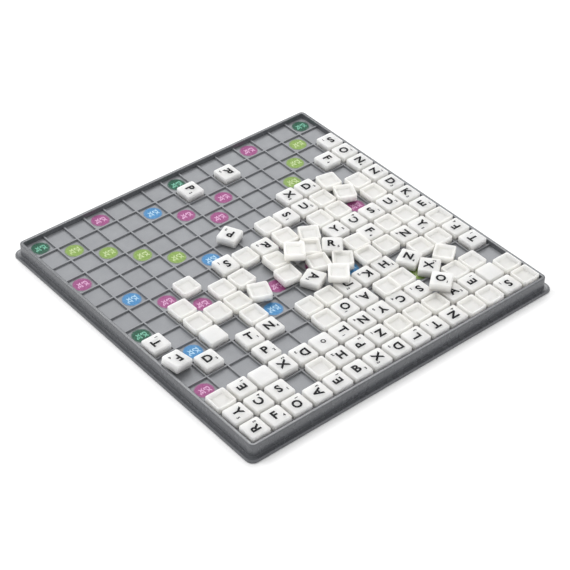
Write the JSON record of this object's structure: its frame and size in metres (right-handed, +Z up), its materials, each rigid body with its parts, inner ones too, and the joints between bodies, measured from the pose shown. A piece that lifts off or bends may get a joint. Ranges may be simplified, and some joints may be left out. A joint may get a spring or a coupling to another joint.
{
  "type": "travel word tile game board tray",
  "caption": "Square grey travel game tray with a ribbed grid, round coloured bonus marks and small hollow white letter tiles, seated in cells and lying loose.",
  "frame": {"origin": "centre of the tray's underside, on the surface it stands on", "axes": "+Z up out of the tray; +X along the lower right edge in the picture and +Y along the lower left edge, both away from the near corner"},
  "size_m": [0.2358, 0.2358, 0.0186],
  "materials": {
    "tray_plastic": "satin moulded plastic",
    "tile_plastic_face": "satin moulded plastic with printed letter",
    "tile_plastic_open": "satin moulded plastic, bare",
    "marks_green": "printed ink",
    "marks_lime": "printed ink",
    "marks_magenta": "printed ink",
    "marks_blue": "printed ink"
  },
  "bodies": {
    "tray": {"board_tray": "tray_plastic", "marks_green": "marks_green", "marks_lime": "marks_lime", "marks_magenta": "marks_magenta", "marks_blue": "marks_blue"},
    "column_00": {"up_00": "tile_plastic_face", "down_00": "tile_plastic_open"},
    "column_01": {"up_01": "tile_plastic_face"},
    "column_02": {"up_02": "tile_plastic_face", "down_02": "tile_plastic_open"},
    "column_03": {"up_03": "tile_plastic_face", "down_03": "tile_plastic_open"},
    "column_04": {"up_04": "tile_plastic_face", "down_04": "tile_plastic_open"},
    "column_05": {"up_05": "tile_plastic_face", "down_05": "tile_plastic_open"},
    "column_06": {"up_06": "tile_plastic_face", "down_06": "tile_plastic_open"},
    "column_07": {"up_07": "tile_plastic_face", "down_07": "tile_plastic_open"},
    "column_08": {"up_08": "tile_plastic_face", "down_08": "tile_plastic_open"},
    "column_09": {"up_09": "tile_plastic_face", "down_09": "tile_plastic_open"},
    "column_12": {"up_12": "tile_plastic_face", "down_12": "tile_plastic_open"},
    "column_13": {"up_13": "tile_plastic_face", "down_13": "tile_plastic_open"},
    "column_14": {"up_14": "tile_plastic_face", "down_14": "tile_plastic_open"},
    "columns_10_11": {"up_10": "tile_plastic_face", "down_10": "tile_plastic_open", "up_11": "tile_plastic_face", "down_11": "tile_plastic_open"},
    "heap_low": {"loose_04": "tile_plastic_open", "loose_09": "tile_plastic_open", "loose_13": "tile_plastic_open"},
    "tile_01": {"loose_01": "tile_plastic_face"},
    "tile_02": {"loose_02": "tile_plastic_face"},
    "tile_03": {"loose_03": "tile_plastic_open"},
    "tile_05": {"loose_05": "tile_plastic_open"},
    "tile_06": {"loose_06": "tile_plastic_open"},
    "tile_07": {"loose_07": "tile_plastic_open"},
    "tile_08": {"loose_08": "tile_plastic_open"},
    "tile_10": {"loose_10": "tile_plastic_face"},
    "tile_11": {"loose_11": "tile_plastic_open"},
    "tile_12": {"loose_12": "tile_plastic_open"},
    "tile_14": {"loose_14": "tile_plastic_face"},
    "tile_15": {"loose_15": "tile_plastic_open"},
    "tile_16": {"loose_16": "tile_plastic_open"},
    "tile_17": {"loose_17": "tile_plastic_face"},
    "tile_18": {"loose_18": "tile_plastic_face"},
    "tile_19": {"loose_19": "tile_plastic_face"},
    "tile_20": {"loose_20": "tile_plastic_open"},
    "tile_21": {"loose_21": "tile_plastic_open"},
    "tile_22": {"loose_22": "tile_plastic_open"},
    "tile_23": {"loose_23": "tile_plastic_open"},
    "tile_24": {"loose_24": "tile_plastic_face"}
  },
  "joints": [
    {"name": "lift_column_00", "type": "slide", "parent": "tray", "child": "column_00", "axis": [0, 0, 1], "range_m": [0, 0.025]},
    {"name": "lift_column_01", "type": "slide", "parent": "tray", "child": "column_01", "axis": [0, 0, 1], "range_m": [0, 0.025]},
    {"name": "lift_column_02", "type": "slide", "parent": "tray", "child": "column_02", "axis": [0, 0, 1], "range_m": [0, 0.025]},
    {"name": "lift_column_03", "type": "slide", "parent": "tray", "child": "column_03", "axis": [0, 0, 1], "range_m": [0, 0.025]},
    {"name": "lift_column_04", "type": "slide", "parent": "tray", "child": "column_04", "axis": [0, 0, 1], "range_m": [0, 0.025]},
    {"name": "lift_column_05", "type": "slide", "parent": "tray", "child": "column_05", "axis": [0, 0, 1], "range_m": [0, 0.025]},
    {"name": "lift_column_06", "type": "slide", "parent": "tray", "child": "column_06", "axis": [0, 0, 1], "range_m": [0, 0.025]},
    {"name": "lift_column_07", "type": "slide", "parent": "tray", "child": "column_07", "axis": [0, 0, 1], "range_m": [0, 0.025]},
    {"name": "lift_column_08", "type": "slide", "parent": "tray", "child": "column_08", "axis": [0, 0, 1], "range_m": [0, 0.025]},
    {"name": "lift_column_09", "type": "slide", "parent": "tray", "child": "column_09", "axis": [0, 0, 1], "range_m": [0, 0.025]},
    {"name": "lift_column_12", "type": "slide", "parent": "tray", "child": "column_12", "axis": [0, 0, 1], "range_m": [0, 0.025]},
    {"name": "lift_column_13", "type": "slide", "parent": "tray", "child": "column_13", "axis": [0, 0, 1], "range_m": [0, 0.025]},
    {"name": "lift_column_14", "type": "slide", "parent": "tray", "child": "column_14", "axis": [0, 0, 1], "range_m": [0, 0.025]},
    {"name": "lift_columns_10_11", "type": "slide", "parent": "tray", "child": "columns_10_11", "axis": [0, 0, 1], "range_m": [0, 0.025]},
    {"name": "lift_heap_low", "type": "slide", "parent": "tray", "child": "heap_low", "axis": [0, 0, 1], "range_m": [0, 0.025]},
    {"name": "lift_tile_01", "type": "slide", "parent": "tray", "child": "tile_01", "axis": [0, 0, 1], "range_m": [0, 0.025]},
    {"name": "lift_tile_02", "type": "slide", "parent": "tray", "child": "tile_02", "axis": [0, 0, 1], "range_m": [0, 0.025]},
    {"name": "lift_tile_03", "type": "slide", "parent": "tray", "child": "tile_03", "axis": [0, 0, 1], "range_m": [0, 0.025]},
    {"name": "lift_tile_05", "type": "slide", "parent": "tray", "child": "tile_05", "axis": [0, 0, 1], "range_m": [0, 0.025]},
    {"name": "lift_tile_06", "type": "slide", "parent": "tray", "child": "tile_06", "axis": [0, 0, 1], "range_m": [0, 0.025]},
    {"name": "lift_tile_07", "type": "slide", "parent": "heap_low", "child": "tile_07", "axis": [0, 0, 1], "range_m": [0, 0.025]},
    {"name": "lift_tile_08", "type": "slide", "parent": "tray", "child": "tile_08", "axis": [0, 0, 1], "range_m": [0, 0.025]},
    {"name": "lift_tile_10", "type": "slide", "parent": "tray", "child": "tile_10", "axis": [0, 0, 1], "range_m": [0, 0.025]},
    {"name": "lift_tile_11", "type": "slide", "parent": "tray", "child": "tile_11", "axis": [0, 0, 1], "range_m": [0, 0.025]},
    {"name": "lift_tile_12", "type": "slide", "parent": "column_08", "child": "tile_12", "axis": [0, 0, 1], "range_m": [0, 0.025]},
    {"name": "lift_tile_14", "type": "slide", "parent": "tray", "child": "tile_14", "axis": [0, 0, 1], "range_m": [0, 0.025]},
    {"name": "lift_tile_15", "type": "slide", "parent": "tray", "child": "tile_15", "axis": [0, 0, 1], "range_m": [0, 0.025]},
    {"name": "lift_tile_16", "type": "slide", "parent": "tray", "child": "tile_16", "axis": [0, 0, 1], "range_m": [0, 0.025]},
    {"name": "lift_tile_17", "type": "slide", "parent": "tray", "child": "tile_17", "axis": [0, 0, 1], "range_m": [0, 0.025]},
    {"name": "lift_tile_18", "type": "slide", "parent": "tray", "child": "tile_18", "axis": [0, 0, 1], "range_m": [0, 0.025]},
    {"name": "lift_tile_19", "type": "slide", "parent": "columns_10_11", "child": "tile_19", "axis": [0, 0, 1], "range_m": [0, 0.025]},
    {"name": "lift_tile_20", "type": "slide", "parent": "tray", "child": "tile_20", "axis": [0, 0, 1], "range_m": [0, 0.025]},
    {"name": "lift_tile_21", "type": "slide", "parent": "tray", "child": "tile_21", "axis": [0, 0, 1], "range_m": [0, 0.025]},
    {"name": "lift_tile_22", "type": "slide", "parent": "tray", "child": "tile_22", "axis": [0, 0, 1], "range_m": [0, 0.025]},
    {"name": "lift_tile_23", "type": "slide", "parent": "tray", "child": "tile_23", "axis": [0, 0, 1], "range_m": [0, 0.025]},
    {"name": "lift_tile_24", "type": "slide", "parent": "tray", "child": "tile_24", "axis": [0, 0, 1], "range_m": [0, 0.025]}
  ]
}
